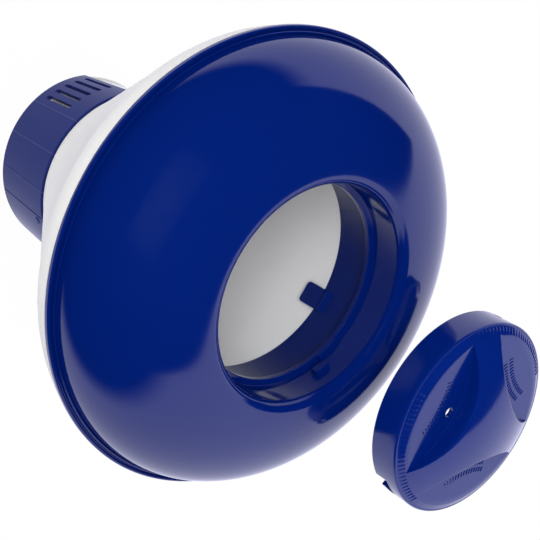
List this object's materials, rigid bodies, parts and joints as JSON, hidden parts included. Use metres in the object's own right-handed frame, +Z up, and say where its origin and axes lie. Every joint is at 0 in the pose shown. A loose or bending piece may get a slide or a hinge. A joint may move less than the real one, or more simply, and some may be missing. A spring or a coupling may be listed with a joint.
{
  "type": "floating chlorine dispenser",
  "caption": "Floating pool dispenser for chlorine tablets: a ring float round a slotted basket, with a turning flow regulator and a bayonet lid lifted off to one side.",
  "frame": {"origin": "centre of the basket's foot, on the surface it stands on", "axes": "+Z up along the float's axis; the lifted-off lid is towards -X, so +X points from the lid to the float"},
  "size_m": [0.2425, 0.2, 0.2249],
  "materials": {
    "shell_blue": "deep blue, glossy moulded plastic",
    "bowl_white": "white, glossy moulded plastic",
    "basket_white": "white, smooth moulded plastic",
    "regulator_blue": "blue, satin moulded plastic",
    "tab_blue": "deep blue, glossy moulded plastic",
    "lid_blue": "deep blue, glossy moulded plastic"
  },
  "bodies": {
    "float": {"float_shell": "shell_blue", "float_bowl": "bowl_white", "tablet_basket": "basket_white"},
    "regulator": {"flow_regulator": "regulator_blue"},
    "latch": {"latch_tab": "tab_blue"},
    "lid": {"lid": "lid_blue"}
  },
  "joints": [
    {"name": "lid_slide", "type": "slide", "parent": "float", "child": "lid", "axis": [1, 0, 0], "range_m": [0, 0.0967]},
    {"name": "regulator_turn", "type": "hinge", "parent": "float", "child": "regulator", "pos_m": [0, 0, 0.025], "axis": [0, 0, 1], "range_deg": [-34.5, 0]},
    {"name": "latch_flex", "type": "hinge", "parent": "float", "child": "latch", "pos_m": [-0.04688, -0.00592, 0.146], "axis": [0.1253, -0.9921, 0], "range_deg": [0, 8], "stiffness_Nm_per_rad": 0.2}
  ]
}
